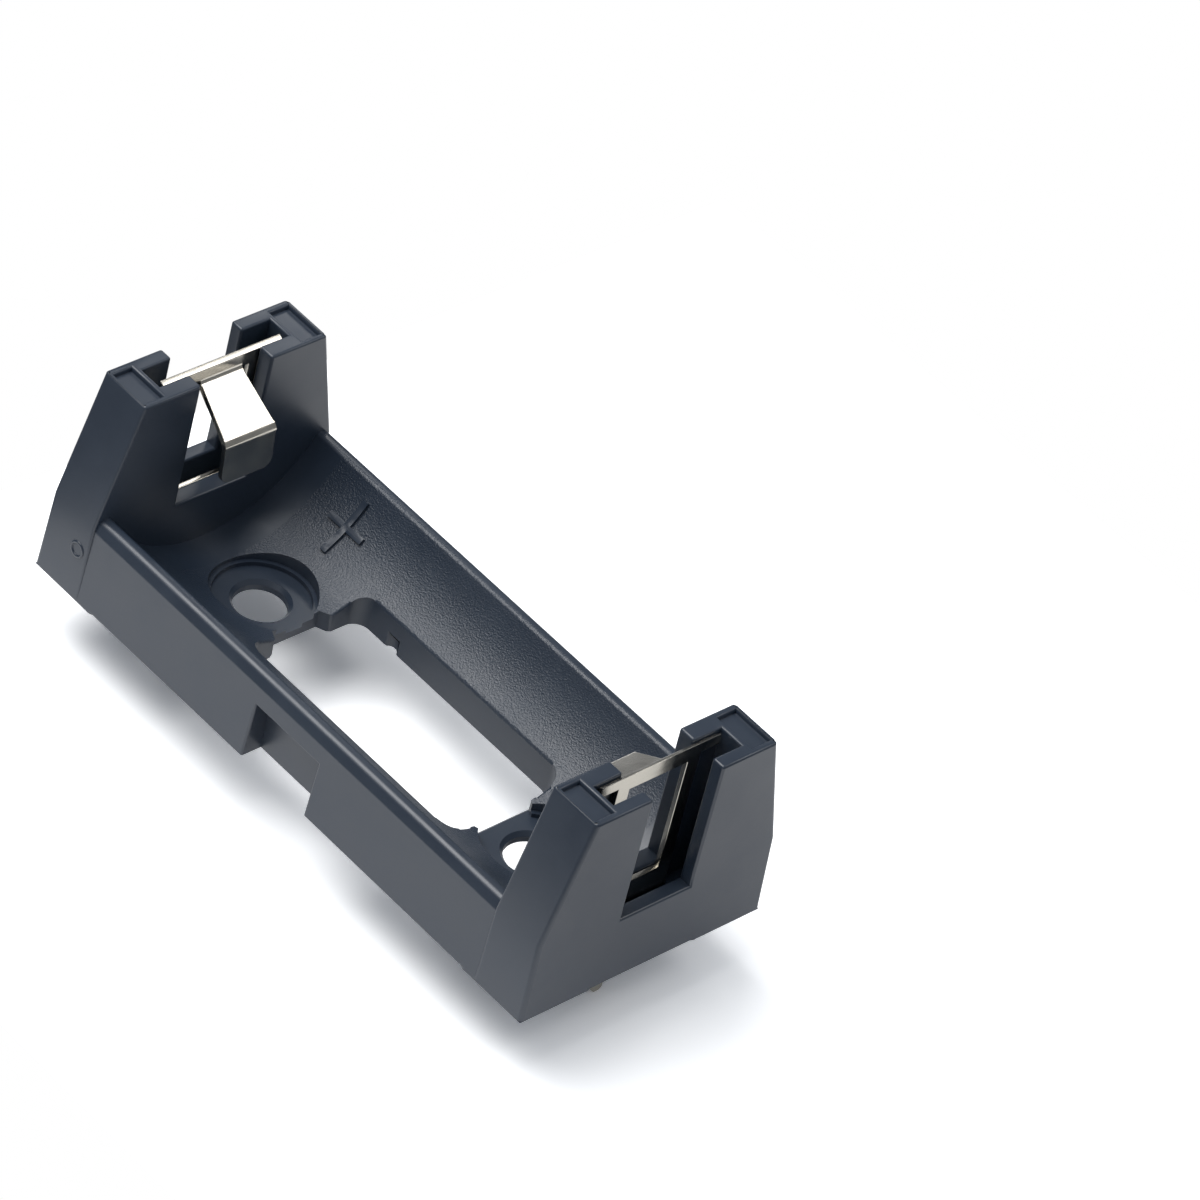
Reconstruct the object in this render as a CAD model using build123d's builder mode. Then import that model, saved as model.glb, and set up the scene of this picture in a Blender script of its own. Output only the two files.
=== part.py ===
from build123d import *

import os

os.makedirs("parts", exist_ok=True)

# Holder for one short cylindrical cell, 17 mm across and 34.5 mm long, fixed to a circuit board.
# The origin is the centre of the seating plane. +X points to the end with the locating peg,
# which takes the positive end of the cell. All sizes are in millimetres.

# Housing, outer form: length and width at the shoulders of the towers
length = 45.6
width = 19.0
base_draft = 0.2
tower_height = 14.6
tower_depth = 3.95
tower_top_width = 14.44
tower_shoulder = 5.9
side_wall_set_back = 0.15
standoff = 0.15

# Cradle between the towers
rim_height = 6.32
rim_width = 0.72
rim_bevel_width = 0.32
rim_bevel_height = 0.76
cradle_floor = 1.28
side_notch_length = 5.84
side_notch_height = 4.2
side_notch_depth = 1.2

# Push-out window through the floor
window_width = 9.4
window_reach_front = 8.92
window_reach_back = 9.88
window_back_toe = 0.46
window_corner = 1.05
gate_position = 5.75
gate_radius = 0.5
gate_depth = 0.33
gate_height = 1.0

# Screw seats
screw_spacing = 25.7
screw_hole = 3.5
screw_lead_in = 0.25
seat_floor = 0.7
seat_diameter = 6.4
seat_step_height = 0.3
seat_step_width = 0.28
seat_channel_width = 3.8
seat_channel_flare = 0.4
seat_channel_length = 0.8

# Feet and locating peg
ring_width = 0.7
foot_width = 1.55
foot_along_end = 5.25
foot_along_side = 5.1
peg_diameter = 1.32
peg_length = 1.8
peg_chamfer = 0.2
peg_from_end = 2.7

# Contact slots in each tower
inner_wall = 1.25
outer_wall = 1.0
outer_slot_width = 5.54
inner_slot_width = 5.6
slot_sill = 5.0
groove_width = 10.16
groove_floor = 3.2
slit_floor = 2.0
pocket_length = 3.0
pocket_width = 1.5
pocket_depth = 0.35
pocket_from_end = 0.5
pocket_from_middle = 6.25

# Slot in the base for the solder pin
pin_slot_length = 4.28
pin_slot_width = 0.9
pin_slot_bulge = 0.4
pin_slot_bulge_root = 2.4
pin_slot_bulge_flat = 1.4

# Contact, folded from one strip
sheet = 0.35
sheet_clearance = 0.04
contact_below_top = 0.05
wing_width = 9.5
wing_height = 0.8
body_width = 6.6
top_bar = 1.2
tongue_cut_width = 4.6
tongue_cut_length = 8.5
tongue_root_width = 3.3
tongue_width = 4.05
tongue_corner = 0.7
tongue_bend = 0.6
knee_reach = 3.6
knee_drop = 2.25
lip_reach = 0.2
lip_drop = 2.9
tab_width = 3.3
pin_width = 0.85
pin_length = 4.5
pin_chamfer = 0.22
kink_start = 1.6
kink_length = 0.7
kink_reach = 0.45
kink_return = 0.2
kink_bend = 0.3

# Places that follow from the sizes above
half_length = length / 2
base_end = half_length + base_draft
base_side = width / 2 + base_draft
tower_face = half_length - tower_depth
side_wall = width / 2 - side_wall_set_back
rim_outside = side_wall - rim_bevel_width
rim_inside = rim_outside - rim_width
screw_x = screw_spacing / 2
groove_start = tower_face + inner_wall
groove_end = half_length - outer_wall
sheet_start = groove_start + sheet_clearance
sheet_middle = sheet_start + sheet / 2
slit_width = sheet + 2 * sheet_clearance
slit_length = body_width + 2 * sheet_clearance
window_back_low = window_reach_back - window_back_toe

with BuildPart() as housing:
    # Half of the cradle, from the middle of the holder to the face of the tower
    with BuildSketch(Plane.YZ):
        with BuildLine():
            Polyline(
                (-rim_inside, rim_height),
                (-rim_outside, rim_height),
                (-side_wall, rim_height - rim_bevel_height),
                (-base_side, standoff),
                (base_side, standoff),
                (side_wall, rim_height - rim_bevel_height),
                (rim_outside, rim_height),
                (rim_inside, rim_height),
            )
            ThreePointArc((rim_inside, rim_height), (0, cradle_floor), (-rim_inside, rim_height))
        make_face()
    extrude(amount=tower_face)

    # Tower, drafted outwards below its shoulders and tapered above them
    for level, grown in ((standoff, base_draft), (tower_shoulder, 0)):
        with BuildSketch(Plane.XY.offset(level)):
            with Locations(((tower_face + half_length + grown) / 2, 0)):
                Rectangle(tower_depth + grown, width + 2 * grown)
    loft()
    with BuildSketch(Plane.YZ.offset(tower_face)):
        with BuildLine():
            Polyline(
                (width / 2, tower_shoulder),
                (tower_top_width / 2, tower_height),
                (-tower_top_width / 2, tower_height),
                (-width / 2, tower_shoulder),
                close=True,
            )
        make_face()
    extrude(amount=tower_depth)

    # Ring round the screw hole, and a corner foot with rounded ends on each side
    with BuildSketch(Plane.XY):
        with Locations((screw_x, 0)):
            Circle(screw_hole / 2 + ring_width)
        for side in (-1, 1):
            end_strip = side * (base_side - foot_along_end / 2)
            side_strip = side * (base_side - foot_width / 2)
            with Locations((base_end - foot_width / 2, end_strip)):
                Rectangle(foot_width, foot_along_end)
            with Locations((base_end - foot_along_side / 2, side_strip)):
                Rectangle(foot_along_side, foot_width)
            with Locations(
                (base_end - foot_width / 2, side * (base_side - foot_along_end)),
                (base_end - foot_along_side, side_strip),
            ):
                Circle(foot_width / 2)
    extrude(amount=standoff)

    # Groove, slit and slots that hold the contact, all open at the top of the tower
    for start, end, across, floor in (
        (tower_face, groove_start, inner_slot_width, slot_sill),
        (groove_start, groove_end, groove_width, groove_floor),
        (groove_end, base_end, outer_slot_width, slot_sill),
        (groove_start, groove_start + slit_width, slit_length, slit_floor),
    ):
        with BuildSketch(Plane.XY.offset(tower_height)):
            with Locations(((start + end) / 2, 0)):
                Rectangle(end - start, across)
        extrude(amount=floor - tower_height, mode=Mode.SUBTRACT)

    # Shallow pockets in the tops of the ears
    pocket_x = half_length - pocket_from_end - pocket_length / 2
    with BuildSketch(Plane.XY.offset(tower_height)):
        with Locations((pocket_x, pocket_from_middle), (pocket_x, -pocket_from_middle)):
            Rectangle(pocket_length, pocket_width)
    extrude(amount=-pocket_depth, mode=Mode.SUBTRACT)

    # Slot for the solder pin, wider on the side away from the cradle
    bulge_start = groove_start + pin_slot_width
    with BuildSketch(Plane.XY):
        with Locations((groove_start + pin_slot_width / 2, 0)):
            Rectangle(pin_slot_width, pin_slot_length)
        with BuildLine():
            Polyline(
                (bulge_start, -pin_slot_bulge_root / 2),
                (bulge_start + pin_slot_bulge, -pin_slot_bulge_flat / 2),
                (bulge_start + pin_slot_bulge, pin_slot_bulge_flat / 2),
                (bulge_start, pin_slot_bulge_root / 2),
                close=True,
            )
        make_face()
    extrude(amount=slit_floor, mode=Mode.SUBTRACT)

    # Screw seat: a hole with a lead-in, a flat floor and a stepped wall up to the cradle
    with Locations((screw_x, 0, seat_floor)):
        CounterSinkHole(screw_hole / 2, screw_hole / 2 + screw_lead_in, depth=seat_floor)
    for radius, level in (
        (seat_diameter / 2, seat_floor),
        (seat_diameter / 2 + seat_step_width, seat_floor + seat_step_height),
    ):
        with BuildSketch(Plane.XY.offset(level)):
            with Locations((screw_x, 0)):
                Circle(radius)
        extrude(amount=rim_height, mode=Mode.SUBTRACT)

    mirror(about=Plane.YZ)

    # Window, with its back edge drawn out to a thin toe at the underside
    with BuildSketch(Plane.XY.offset(standoff)):
        with Locations(((window_reach_front - window_back_low) / 2, 0)):
            RectangleRounded(window_reach_front + window_back_low, window_width, window_corner)
    with BuildSketch(Plane.XY.offset(seat_floor)) as window_top:
        with Locations(((window_reach_front - window_reach_back) / 2, 0)):
            RectangleRounded(window_reach_front + window_reach_back, window_width, window_corner)
    loft(mode=Mode.SUBTRACT)
    extrude(window_top.sketch, amount=rim_height, mode=Mode.SUBTRACT)

    # Flared channels from the seats to the window, the front one right through the floor
    channel_half = seat_channel_width / 2
    flare_half = channel_half + seat_channel_flare
    for direction, window_end, bottom in (
        (1, window_reach_front, 0),
        (-1, window_reach_back, seat_floor),
    ):
        channel_end = window_end + seat_channel_length
        with BuildSketch(Plane.XY.offset(bottom)):
            with BuildLine():
                Polyline(
                    (direction * window_end, -flare_half),
                    (direction * channel_end, -channel_half),
                    (direction * channel_end, channel_half),
                    (direction * window_end, flare_half),
                    close=True,
                )
            make_face()
        extrude(amount=rim_height, mode=Mode.SUBTRACT)

    # Notches in the outer faces of both side walls
    with BuildSketch(Plane.XY.offset(standoff)):
        with Locations((0, side_wall), (0, -side_wall)):
            Rectangle(side_notch_length, 2 * side_notch_depth)
    extrude(amount=side_notch_height - standoff, mode=Mode.SUBTRACT)

    # Recess for the moulding gate in the edge of the window
    with BuildSketch(Plane.XY.offset(standoff)):
        with Locations((gate_position, gate_radius - gate_depth - window_width / 2)):
            Circle(gate_radius)
    extrude(amount=gate_height, mode=Mode.SUBTRACT)

    # Locating peg, in the middle of one corner foot's side strip
    with BuildSketch(Plane.XY):
        with Locations((base_end - peg_from_end, foot_width / 2 - base_side)):
            Circle(peg_diameter / 2)
    extrude(amount=-peg_length)
    chamfer(housing.faces().sort_by(Axis.Z)[0].edges(), peg_chamfer)
housing.part.label = "housing"
export_step(housing.part, "parts/housing.step")

contact_top = tower_height - contact_below_top
root_height = contact_top - top_bar

# Tongue, bent into the cradle: the strip seen from the side, cut to its outline seen from the front
with BuildPart() as tongue:
    with BuildSketch(Plane.XZ):
        with BuildLine():
            FilletPolyline(
                (sheet_middle, contact_top - wing_height / 2),
                (sheet_middle, root_height),
                (sheet_middle - knee_reach, root_height - knee_drop),
                (sheet_middle - knee_reach - lip_reach, root_height - knee_drop - lip_drop),
                radius=tongue_bend,
            )
        trace(line_width=sheet)
    extrude(amount=tongue_width, both=True)
    with BuildSketch(Plane.YZ) as tongue_front:
        with BuildLine():
            Polyline(
                (-tongue_root_width / 2, contact_top),
                (-tongue_root_width / 2, root_height),
                (-tongue_width / 2, root_height - knee_drop),
                (-tongue_width / 2, root_height - knee_drop - 2 * lip_drop),
                (tongue_width / 2, root_height - knee_drop - 2 * lip_drop),
                (tongue_width / 2, root_height - knee_drop),
                (tongue_root_width / 2, root_height),
                (tongue_root_width / 2, contact_top),
                close=True,
            )
        make_face()
    extrude(amount=half_length, mode=Mode.INTERSECT)
    tip_corners = tongue.edges().filter_by(Axis.X, tolerance=10).group_by(Axis.Z)[0]
    fillet(tip_corners, tongue_corner)

# Solder pin with a kink that grips the board
with BuildPart() as pin:
    with BuildSketch(Plane.XZ):
        with BuildLine():
            FilletPolyline(
                (sheet_middle, slit_floor),
                (sheet_middle, -kink_start),
                (sheet_middle - kink_reach, -kink_start - kink_length),
                (sheet_middle - kink_return, -kink_start - 2 * kink_length),
                (sheet_middle - kink_return, -pin_length),
                radius=kink_bend,
            )
        trace(line_width=sheet)
    extrude(amount=pin_width / 2, both=True)
    chamfer(pin.edges().filter_by(Axis.X).group_by(Axis.Z)[0], pin_chamfer)

with BuildPart() as contact_positive:
    # Flat frame with wings at the top, a tab at the foot and the gap that the tongue was cut from
    with BuildSketch(Plane.YZ.offset(sheet_start)):
        with Locations((0, contact_top - wing_height / 2)):
            Rectangle(wing_width, wing_height)
        with Locations((0, (contact_top + slit_floor) / 2)):
            Rectangle(body_width, contact_top - slit_floor)
        with Locations((0, (slit_floor + standoff) / 2)):
            Rectangle(tab_width, slit_floor - standoff)
        with Locations((0, root_height - tongue_cut_length / 2)):
            Rectangle(tongue_cut_width, tongue_cut_length, mode=Mode.SUBTRACT)
    extrude(amount=sheet)
    add(tongue.part)
    add(pin.part)
contact_positive.part.label = "contact_positive"
export_step(contact_positive.part, "parts/contact_positive.step")

with BuildPart() as contact_negative:
    mirror(contact_positive.part, about=Plane.YZ)
contact_negative.part.label = "contact_negative"
export_step(contact_negative.part, "parts/contact_negative.step")
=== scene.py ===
import bpy
import bmesh
import math
from mathutils import Matrix, Vector


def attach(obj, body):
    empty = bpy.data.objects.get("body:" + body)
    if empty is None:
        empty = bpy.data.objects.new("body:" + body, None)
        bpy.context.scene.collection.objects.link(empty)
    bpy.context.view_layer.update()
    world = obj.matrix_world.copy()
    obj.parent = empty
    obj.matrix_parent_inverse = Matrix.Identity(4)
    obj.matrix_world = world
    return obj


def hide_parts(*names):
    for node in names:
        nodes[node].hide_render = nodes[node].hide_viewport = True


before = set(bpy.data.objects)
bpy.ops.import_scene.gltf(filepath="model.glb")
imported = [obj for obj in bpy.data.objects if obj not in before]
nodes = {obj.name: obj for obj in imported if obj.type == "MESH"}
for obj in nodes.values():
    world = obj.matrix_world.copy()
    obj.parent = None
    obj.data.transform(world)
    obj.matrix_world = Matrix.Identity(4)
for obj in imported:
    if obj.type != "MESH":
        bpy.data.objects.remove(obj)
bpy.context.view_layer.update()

scene = bpy.context.scene
mm = 0.001
mergeDistance = 0.001 * mm


def hexColour(code):
    channels = [int(code[i:i + 2], 16) / 255 for i in (1, 3, 5)]
    linear = [c / 12.92 if c <= 0.04045 else ((c + 0.055) / 1.055) ** 2.4 for c in channels]
    return (*linear, 1.0)


def addNode(tree, kind, settings=None, **links):
    node = tree.nodes.new(kind)
    for name, value in (settings or {}).items():
        if isinstance(name, int) or name in node.inputs:
            node.inputs[name].default_value = value
        else:
            setattr(node, name, value)
    for name, socket in links.items():
        place = int(name[1:]) if name[1:].isdigit() else name.replace("_", " ")
        tree.links.new(socket, node.inputs[place])
    return node


def newMaterial(name):
    material = bpy.data.materials.new(name)
    material.use_nodes = True
    return material, material.node_tree, material.node_tree.nodes["Principled BSDF"]


def selectOnly(piece):
    for other in bpy.context.selected_objects:
        other.select_set(False)
    piece.select_set(True)
    bpy.context.view_layer.objects.active = piece


def settle(piece, material):
    # the object goes to the origin with its place in its mesh, and rides the one body
    selectOnly(piece)
    bpy.ops.object.transform_apply(location=True, rotation=True, scale=True)
    piece.data.materials.clear()
    piece.data.materials.append(material)
    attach(piece, "root")


# Moulded black nylon with glass fibre: satin skin off a polished mould, faintly clouded by the fibres.
# The mould is spark eroded at the trough, so the trough has a fine grain.
nylon = {
    "dark": "#202936",
    "light": "#293442",
    "cloud": 3.5 * mm,
    "fibre": 0.35 * mm,
    "fibreDepth": 0.0022 * mm,
    "smoothest": 0.30,
    "roughest": 0.40,
    "index": 1.62,            # glass filled
    "troughRadius": 9.371 * mm,
    "troughAxis": 10.651 * mm,   # its height above the board
    "troughBand": 0.18 * mm,
    "troughEnd": 16.4 * mm,
    "spark": 0.12 * mm,
    "sparkDepth": 0.045 * mm,
}
nylonMaterial, tree, shader = newMaterial("mouldedBlackNylon")
place = addNode(tree, "ShaderNodeTexCoord").outputs["Object"]
clouds = addNode(tree, "ShaderNodeTexNoise",
                 {"Scale": 1 / nylon["cloud"], "Detail": 4.0, "Roughness": 0.6}, Vector=place)
shade = addNode(tree, "ShaderNodeMix",
                {"data_type": "RGBA", 6: hexColour(nylon["dark"]), 7: hexColour(nylon["light"])},
                Factor=clouds.outputs["Fac"])
tree.links.new(shade.outputs[2], shader.inputs["Base Color"])
fibres = addNode(tree, "ShaderNodeTexNoise",
                 {"Scale": 1 / nylon["fibre"], "Detail": 3.0, "Roughness": 0.55}, Vector=place)
gloss = addNode(tree, "ShaderNodeMapRange",
                {"From Min": 0.3, "From Max": 0.7,
                 "To Min": nylon["smoothest"], "To Max": nylon["roughest"]},
                Value=clouds.outputs["Fac"])
tree.links.new(gloss.outputs["Result"], shader.inputs["Roughness"])
shader.inputs["IOR"].default_value = nylon["index"]

# the grain is kept to the round of the trough, by the distance from its axis and by its two ends
axes = addNode(tree, "ShaderNodeSeparateXYZ", Vector=place)
fromAxis = addNode(tree, "ShaderNodeMath",
                   {"operation": "SUBTRACT", 1: nylon["troughAxis"]}, _0=axes.outputs["Z"])
flatPlace = addNode(tree, "ShaderNodeCombineXYZ", X=axes.outputs["Y"], Y=fromAxis.outputs[0])
reach = addNode(tree, "ShaderNodeVectorMath", {"operation": "LENGTH"}, _0=flatPlace.outputs[0])
inTrough = addNode(tree, "ShaderNodeMath",
                   {"operation": "COMPARE", 1: nylon["troughRadius"], 2: nylon["troughBand"]},
                   _0=reach.outputs["Value"])
betweenEnds = addNode(tree, "ShaderNodeMath",
                      {"operation": "COMPARE", 1: 0.0, 2: nylon["troughEnd"]}, _0=axes.outputs["X"])
grainy = addNode(tree, "ShaderNodeMath", {"operation": "MULTIPLY"},
                 _0=inTrough.outputs[0], _1=betweenEnds.outputs[0])
sparks = addNode(tree, "ShaderNodeTexNoise",
                 {"Scale": 1 / nylon["spark"], "Detail": 2.0, "Roughness": 0.6}, Vector=place)
grain = addNode(tree, "ShaderNodeBump", {"Distance": nylon["sparkDepth"]},
                Height=sparks.outputs["Fac"], Strength=grainy.outputs[0])
skin = addNode(tree, "ShaderNodeBump", {"Strength": 1.0, "Distance": nylon["fibreDepth"]},
               Height=fibres.outputs["Fac"], Normal=grain.outputs["Normal"])
tree.links.new(skin.outputs["Normal"], shader.inputs["Normal"])

# Spring steel strip with bright nickel plate: a mirror softened by the rolling lines along the strip
nickel = {
    "plate": "#d6d1c6",
    "worn": "#c4beb2",
    "line": 0.06 * mm,
    "lineLength": 4.0 * mm,
    "lineDepth": 0.0006 * mm,
    "smoothest": 0.14,
    "roughest": 0.26,
    "stain": 1.6 * mm,
}
nickelMaterial, tree, shader = newMaterial("brightNickelPlate")
shader.inputs["Metallic"].default_value = 1.0
place = addNode(tree, "ShaderNodeTexCoord").outputs["Object"]
stains = addNode(tree, "ShaderNodeTexNoise", {"Scale": 1 / nickel["stain"], "Detail": 3.0}, Vector=place)
shade = addNode(tree, "ShaderNodeMix",
                {"data_type": "RGBA", 6: hexColour(nickel["worn"]), 7: hexColour(nickel["plate"])},
                Factor=stains.outputs["Fac"])
tree.links.new(shade.outputs[2], shader.inputs["Base Color"])
gloss = addNode(tree, "ShaderNodeMapRange",
                {"From Min": 0.35, "From Max": 0.65,
                 "To Min": nickel["smoothest"], "To Max": nickel["roughest"]},
                Value=stains.outputs["Fac"])
tree.links.new(gloss.outputs["Result"], shader.inputs["Roughness"])
lineScale = (1 / nickel["lineLength"], 1 / nickel["line"], 1 / nickel["lineLength"])
stretch = addNode(tree, "ShaderNodeMapping", {"Scale": lineScale}, Vector=place)
rolled = addNode(tree, "ShaderNodeTexNoise", {"Scale": 1.0, "Detail": 2.0}, Vector=stretch.outputs[0])
lines = addNode(tree, "ShaderNodeBump", {"Strength": 1.0, "Distance": nickel["lineDepth"]},
                Height=rolled.outputs["Fac"])
tree.links.new(lines.outputs["Normal"], shader.inputs["Normal"])
print("materials mixed")


def markSharp(piece, angle=35):
    selectOnly(piece)
    bpy.ops.object.shade_smooth()
    bpy.ops.object.mode_set(mode="EDIT")
    bpy.ops.mesh.select_mode(type="EDGE")
    bpy.ops.mesh.select_all(action="SELECT")
    bpy.ops.mesh.mark_sharp(clear=True)
    bpy.ops.mesh.select_all(action="DESELECT")
    bpy.ops.mesh.edges_select_sharp(sharpness=math.radians(angle))
    bpy.ops.mesh.mark_sharp()
    bpy.ops.object.mode_set(mode="OBJECT")


# Rounded copies of the solids: the mould and the stamping leave no sharp outer edge
def roundedCopy(nodeName, pieceName, edges, widthOf, reshape=None):
    piece = bpy.data.objects.new(pieceName, nodes[nodeName].data.copy())
    scene.collection.objects.link(piece)
    selectOnly(piece)
    bpy.ops.mesh.customdata_custom_splitnormals_clear()
    bpy.ops.object.mode_set(mode="EDIT")
    bpy.ops.mesh.select_all(action="SELECT")
    bpy.ops.mesh.remove_doubles(threshold=mergeDistance)
    bpy.ops.mesh.dissolve_limited(angle_limit=math.radians(0.5))
    bpy.ops.mesh.vert_connect_concave()
    bpy.ops.object.mode_set(mode="OBJECT")
    shape = bmesh.new()
    shape.from_mesh(piece.data)
    for corner in shape.verts if reshape else ():
        reshape(corner.co)
    shape.normal_update()
    share = shape.edges.layers.float.new("bevel_weight_edge")
    for edge in shape.edges:
        if edge.is_manifold and edge.is_convex:
            bend = math.degrees(edge.calc_face_angle(0))
            edge[share] = widthOf(bend, *(corner.co for corner in edge.verts)) / edges["widest"]
    shape.to_mesh(piece.data)
    shape.free()
    bevel = piece.modifiers.new("roundedEdges", "BEVEL")
    bevel.width = edges["widest"]
    bevel.segments = edges["segments"]
    bevel.limit_method = "WEIGHT"
    bevel.use_clamp_overlap = False
    bevel.loop_slide = False
    bpy.ops.object.modifier_apply(modifier="roundedEdges")
    markSharp(piece)
    weighted = piece.modifiers.new("flatFaces", "WEIGHTED_NORMAL")
    weighted.keep_sharp = True
    weighted.weight = 100
    bpy.ops.object.modifier_apply(modifier="flatFaces")
    return piece


housingEdges = {
    "widest": 0.30 * mm,      # upright corners of the towers, outer edge of the rims
    "usual": 0.18 * mm,
    "faint": 0.07 * mm,       # between faces that are nearly level with each other
    "foot": 0.04 * mm,        # at the level of the board
    "base": 0.10 * mm,        # round the underside
    "segments": 3,
    "sharp": 30,              # degrees of bend, from which an edge gets the usual width
    "dull": 12,               # degrees, from which a long edge gets the faint width
    "longer": 0.4 * mm,
    "dullLonger": 4.0 * mm,
    "rimLow": 6.2 * mm,       # where the outer edges of the rims are
    "rimHigh": 6.4 * mm,
    "rimSide": 8.8 * mm,
    "rimFace": 9.2 * mm,
    "cornerEnd": 22.7 * mm,   # where the upright corners of the towers are
    "cornerSide": 7.1 * mm,
    "cornerSlope": 0.9,
    "footHigh": 0.05 * mm,
    "baseHigh": 0.20 * mm,
    "crispX": 14.5 * mm,      # window and rings are left crisp underneath
    "crispY": 6.0 * mm,
    "seatPlace": 12.85 * mm,  # the screw seats stay crisp
    "seatReach": 4.2 * mm,
    "seatHigh": 2.6 * mm,
}


def housingEdgeWidth(bend, a, b):
    length = (a - b).length
    if bend < housingEdges["sharp"]:
        isFaint = bend > housingEdges["dull"] and length > housingEdges["dullLonger"]
        return housingEdges["faint"] if isFaint else 0
    low, high = min(a.z, b.z), max(a.z, b.z)
    inner, outer = min(abs(a.y), abs(b.y)), max(abs(a.y), abs(b.y))
    isUpright = high - low > housingEdges["cornerSlope"] * length
    isAtEnd = min(abs(a.x), abs(b.x)) > housingEdges["cornerEnd"]
    if isUpright and isAtEnd and inner > housingEdges["cornerSide"]:
        return housingEdges["widest"]
    if length < housingEdges["longer"]:
        return 0
    middle = (a + b) / 2
    isInside = abs(middle.x) < housingEdges["crispX"] and abs(middle.y) < housingEdges["crispY"]
    if isInside and high < housingEdges["baseHigh"]:
        return 0
    if high < housingEdges["footHigh"]:
        return housingEdges["foot"]
    if high < housingEdges["baseHigh"]:
        return housingEdges["base"]
    if housingEdges["rimLow"] < low and high < housingEdges["rimHigh"]:
        if housingEdges["rimSide"] < inner and outer < housingEdges["rimFace"]:
            return housingEdges["widest"]
    fromSeat = math.hypot(abs(middle.x) - housingEdges["seatPlace"], middle.y)
    if fromSeat < housingEdges["seatReach"] and middle.z < housingEdges["seatHigh"]:
        return 0
    return housingEdges["usual"]


mouldedHousing = roundedCopy("housing", "mouldedHousing", housingEdges, housingEdgeWidth)
settle(mouldedHousing, nylonMaterial)
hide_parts("housing")

sheetEdges = {
    "widest": 0.05 * mm,
    "segments": 2,
    "sharp": 30,
    "longer": 0.15 * mm,
    "top": 14.5 * mm,
    "cellSide": 20.3 * mm,
    "slant": 0.20 * mm,
}


def sheetEdgeWidth(bend, a, b):
    isCutEdge = bend > sheetEdges["sharp"] and (a - b).length > sheetEdges["longer"]
    return sheetEdges["widest"] if isCutEdge else 0


def slantTopEdge(place):
    # the shears leave the top edge slanting towards the cell
    if place.z > sheetEdges["top"] and abs(place.x) < sheetEdges["cellSide"]:
        place.z -= sheetEdges["slant"]


for end in ("positive", "negative"):
    strip = roundedCopy("contact_" + end, end + "SpringContact", sheetEdges, sheetEdgeWidth, slantTopEdge)
    settle(strip, nickelMaterial)
    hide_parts("contact_" + end)
print("housing and contacts rounded")

# Plus sign, raised in the trough at the positive end: one bar along the holder, one up the round wall
plusSign = {
    "place": 13.0 * mm,
    "turn": 42.8,             # degrees round the trough from its bottom
    "width": 0.46 * mm,
    "rise": 0.22 * mm,
    "root": 0.10 * mm,
    "alongX": 3.1 * mm,
    "roundTurn": 25.2,
    "steps": 14,
    "edge": 0.13 * mm,
    "edgeSegments": 3,
    "edgeSharp": 40,
}


def spunBar(name, halfX, turn):
    # a flat patch at the bottom of the trough, spun about the trough's axis
    bpy.ops.mesh.primitive_plane_add(size=1)
    bar = bpy.context.object
    bar.name = name
    bar.scale = (2 * halfX, plusSign["rise"] + plusSign["root"], 1)
    bar.rotation_euler = (math.radians(90), 0, 0)
    low = nylon["troughAxis"] - nylon["troughRadius"] - plusSign["root"]
    bar.location = (plusSign["place"], 0, low + (plusSign["rise"] + plusSign["root"]) / 2)
    bpy.ops.object.transform_apply(location=True, rotation=True, scale=True)
    start = Matrix.Rotation(-math.radians(plusSign["turn"] - turn / 2), 4, "X")
    axis = Vector((0, 0, nylon["troughAxis"]))
    bar.data.transform(Matrix.Translation(axis) @ start @ Matrix.Translation(-axis))
    bpy.ops.object.mode_set(mode="EDIT")
    bpy.ops.mesh.select_all(action="SELECT")
    steps = max(2, round(plusSign["steps"] * turn / plusSign["roundTurn"]))
    bpy.ops.mesh.spin(steps=steps, angle=math.radians(turn), center=axis, axis=(1, 0, 0))
    bpy.ops.mesh.select_all(action="SELECT")
    bpy.ops.mesh.remove_doubles(threshold=mergeDistance)
    bpy.ops.mesh.normals_make_consistent(inside=False)
    bpy.ops.object.mode_set(mode="OBJECT")
    return bar


acrossTurn = math.degrees(plusSign["width"] / nylon["troughRadius"])
upright = spunBar("plusSign", plusSign["width"] / 2, plusSign["roundTurn"])
level = spunBar("plusSignLevel", plusSign["alongX"] / 2, acrossTurn)
selectOnly(upright)
join = upright.modifiers.new("join", "BOOLEAN")
join.operation = "UNION"
join.object = level
join.solver = "EXACT"
bpy.ops.object.modifier_apply(modifier="join")
bpy.data.objects.remove(level)
soften = upright.modifiers.new("soften", "BEVEL")
soften.width = plusSign["edge"]
soften.segments = plusSign["edgeSegments"]
soften.limit_method = "ANGLE"
soften.angle_limit = math.radians(plusSign["edgeSharp"])
bpy.ops.object.modifier_apply(modifier="soften")
markSharp(upright)
settle(upright, nylonMaterial)
print("plus sign raised")


def flatRing(name, radius, thickness, rise, position, turn):
    # a raised round line: a thin torus, flattened to its rise
    bpy.ops.mesh.primitive_torus_add(major_radius=radius, minor_radius=thickness / 2,
                                     major_segments=48, minor_segments=10)
    ring = bpy.context.object
    ring.name = name
    ring.scale = (1, 1, 2 * rise / thickness)
    ring.rotation_euler = turn
    ring.location = position
    bpy.ops.object.shade_smooth()
    return ring


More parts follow.
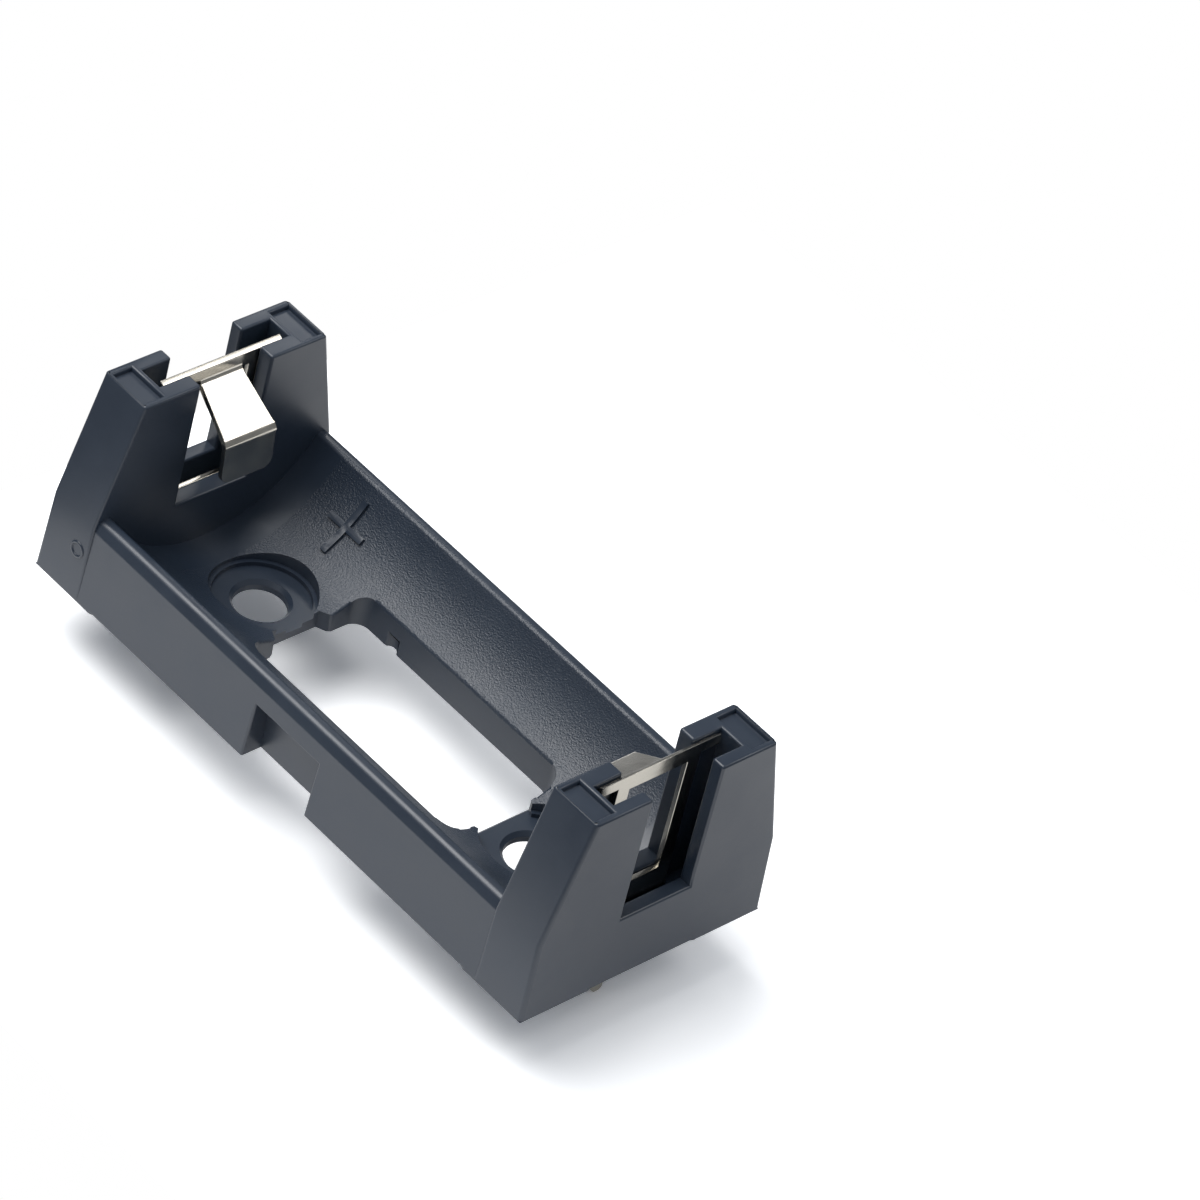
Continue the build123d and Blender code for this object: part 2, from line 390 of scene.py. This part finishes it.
# Mould number on the underside, drawn with two round lines
mouldNumber = {
    "thickness": 0.30 * mm,
    "rise": 0.07 * mm,
    "lowerRadius": 0.80 * mm,
    "lowerPlace": (-19.04 * mm, -6.03 * mm, 0.15 * mm),
    "upperRadius": 0.55 * mm,
    "upperPlace": (-19.10 * mm, -4.70 * mm, 0.15 * mm),
}
lower = flatRing("mouldNumber", mouldNumber["lowerRadius"], mouldNumber["thickness"],
                 mouldNumber["rise"], mouldNumber["lowerPlace"], (0, 0, 0))
upper = flatRing("mouldNumberUpper", mouldNumber["upperRadius"], mouldNumber["thickness"],
                 mouldNumber["rise"], mouldNumber["upperPlace"], (0, 0, 0))
selectOnly(lower)
upper.select_set(True)
bpy.ops.object.join()
settle(lower, nylonMaterial)

# Witness lines beside the pin slots on the underside, where the inserts of the mould meet
witness = {
    "place": 19.62 * mm,
    "start": 2.2 * mm,
    "end": 4.9 * mm,
    "width": 0.06 * mm,
    "rise": 0.03 * mm,
    "level": 0.15 * mm,
}
for name, end in (("witnessLinePositive", 1), ("witnessLineNegative", -1)):
    bpy.ops.mesh.primitive_cube_add(size=1, location=(end * witness["place"], 0, witness["level"]))
    line = bpy.context.object
    line.name = name
    line.scale = (witness["width"], 2 * witness["end"], 2 * witness["rise"])
    bpy.ops.object.transform_apply(location=True, rotation=True, scale=True)
    bpy.ops.object.mode_set(mode="EDIT")
    for side in (1, -1):
        bpy.ops.mesh.select_all(action="SELECT")
        bpy.ops.mesh.bisect(plane_co=(0, side * witness["start"], 0), plane_no=(0, 1, 0))
    bpy.ops.mesh.select_all(action="DESELECT")
    shape = bmesh.from_edit_mesh(line.data)
    gapEnd = witness["start"] + mergeDistance
    for face in shape.faces:
        face.select_set(all(abs(corner.co.y) <= gapEnd for corner in face.verts))
    bmesh.update_edit_mesh(line.data)
    bpy.ops.mesh.delete(type="FACE")
    bpy.ops.mesh.select_all(action="DESELECT")
    bpy.ops.mesh.select_mode(type="EDGE")
    bpy.ops.mesh.select_non_manifold()
    bpy.ops.mesh.edge_face_add()
    bpy.ops.mesh.select_all(action="SELECT")
    bpy.ops.mesh.normals_make_consistent(inside=False)
    bpy.ops.object.mode_set(mode="OBJECT")
    settle(line, nylonMaterial)

# Round marks on the long faces of the positive end's block, left by the mould's pins
pinMark = {
    "radius": 0.50 * mm,
    "thickness": 0.22 * mm,
    "rise": 0.09 * mm,
    "place": 19.8 * mm,
    "side": 9.573 * mm,
    "height": 3.55 * mm,
    "lean": 2.0,              # degrees, the draft of the block's long faces
}
for name, side in (("pinMarkFront", 1), ("pinMarkBack", -1)):
    mark = flatRing(name, pinMark["radius"], pinMark["thickness"], pinMark["rise"],
                    (pinMark["place"], side * pinMark["side"], pinMark["height"]),
                    (-side * math.radians(90 - pinMark["lean"]), 0, 0))
    settle(mark, nylonMaterial)
print("signs and marks placed")

# Floor: pale matt paper, burnt out to white for the camera, with the shadow kept.
# Reflections see it white too, but with a painted shadow: greyer in a band along the holder's far side,
# standing in for the holder's shade there.
floorSheet = {
    "size": 92 * mm,
    "place": (-13 * mm, -13 * mm, -4.5 * mm),
    "pale": 0.90,
    "burnt": 1.40,
    "reflected": 1.05,
    # painted shadow: the floor's grey in reflections beside the holder
    "paintedShadowGrey": 0.78,
    "paintedShadowEdgeBack": (-32 * mm, -20 * mm),   # across the holder, from white to the painted shadow grey
    "paintedShadowEdgeFront": (-6 * mm, 6 * mm),     # and back to white
}
bpy.ops.mesh.primitive_plane_add(size=floorSheet["size"], location=floorSheet["place"])
floor = bpy.context.object
floor.name = "floor"
bpy.ops.object.transform_apply(location=True, rotation=True, scale=True)
floorMaterial, tree, shader = newMaterial("paleFloor")
tree.nodes.remove(shader)
paper = addNode(tree, "ShaderNodeBsdfDiffuse")
lightPath = addNode(tree, "ShaderNodeLightPath")
place = addNode(tree, "ShaderNodeTexCoord").outputs["Object"]
across = addNode(tree, "ShaderNodeSeparateXYZ", Vector=place).outputs["Y"]
backStart, backEnd = floorSheet["paintedShadowEdgeBack"]
# painted shadow in reflections: the floor greys towards the holder's far side and turns white again across
# the holder
back = addNode(tree, "ShaderNodeMapRange",
               {"From Min": backStart, "From Max": backEnd,
                "To Min": floorSheet["reflected"], "To Max": floorSheet["paintedShadowGrey"]}, Value=across)
frontStart, frontEnd = floorSheet["paintedShadowEdgeFront"]
reflectedWithPaintedShadow = addNode(tree, "ShaderNodeMapRange",
                   {"From Min": frontStart, "From Max": frontEnd, "To Max": floorSheet["reflected"]},
                   Value=across, To_Min=back.outputs["Result"])
inReflection = addNode(tree, "ShaderNodeMapRange", {"To Min": floorSheet["pale"]},
                       Value=lightPath.outputs["Is Glossy Ray"], To_Max=reflectedWithPaintedShadow.outputs["Result"])
white = addNode(tree, "ShaderNodeMapRange", {"To Max": floorSheet["burnt"]},
                Value=lightPath.outputs["Is Camera Ray"], To_Min=inReflection.outputs["Result"])
tree.links.new(white.outputs["Result"], paper.inputs["Color"])
tree.links.new(paper.outputs[0], tree.nodes["Material Output"].inputs["Surface"])
floor.data.materials.append(floorMaterial)

# Room: slightly cool, darker in reflections, white only where the camera looks past the floor
room = {"colour": (0.90, 0.94, 1.0, 1), "strength": 0.48, "reflected": 0.24}
world = bpy.data.worlds.new("studio")
scene.world = world
world.use_nodes = True
tree = world.node_tree
tree.nodes.clear()
lightPath = addNode(tree, "ShaderNodeLightPath")
strength = addNode(tree, "ShaderNodeMapRange", {"To Min": room["strength"], "To Max": room["reflected"]},
                   Value=lightPath.outputs["Is Glossy Ray"])
dim = addNode(tree, "ShaderNodeBackground", {"Color": room["colour"]}, Strength=strength.outputs["Result"])
white = addNode(tree, "ShaderNodeBackground", {"Color": (1, 1, 1, 1), "Strength": 1.0})
mix = addNode(tree, "ShaderNodeMixShader", None, _0=lightPath.outputs["Is Camera Ray"],
              _1=dim.outputs[0], _2=white.outputs[0])
addNode(tree, "ShaderNodeOutputWorld", None, Surface=mix.outputs[0])


def softLight(name, place, size, power):
    data = bpy.data.lights.new(name, "AREA")
    data.shape = "RECTANGLE"
    data.size, data.size_y = size
    data.energy = power
    lamp = bpy.data.objects.new(name, data)
    scene.collection.objects.link(lamp)
    lamp.location = place
    lamp.rotation_euler = (-Vector(place)).to_track_quat("-Z", "Y").to_euler()


# Lamps, each turned to the holder: its place and its two sides in metres, its power in watts
lamps = {
    "softboxOverhead": ((0.15, 0.11, 0.46), (0.46, 0.36), 2.1),
    "softboxBehind": ((-0.19, -0.31, 0.37), (0.15, 0.15), 0.32),
    "softboxFront": ((0.234, 0.100, 0.37), (0.22, 0.22), 0.30),
    "smallLampSide": ((0.067, -0.059, 0.064), (0.018, 0.018), 0.0042),
}
for name, (place, size, power) in lamps.items():
    softLight(name, place, size, power)

# Camera at the photograph's place
photoCamera = {
    "place": (-0.226587, 0.266684, 0.306779),
    "turn": (49.1435, -11.3708, -131.6163),
    "lens": 230.354,
    "sensor": 36.0,
    "nearest": 0.01,
    "farthest": 10,
}
cameraData = bpy.data.cameras.new("photoCamera")
camera = bpy.data.objects.new("photoCamera", cameraData)
scene.collection.objects.link(camera)
camera.location = photoCamera["place"]
camera.rotation_euler = [math.radians(angle) for angle in photoCamera["turn"]]
cameraData.lens = photoCamera["lens"]
cameraData.sensor_width = photoCamera["sensor"]
cameraData.clip_start = photoCamera["nearest"]
cameraData.clip_end = photoCamera["farthest"]
scene.camera = camera
scene.view_settings.view_transform = "Standard"
print("floor, lamps and camera set")
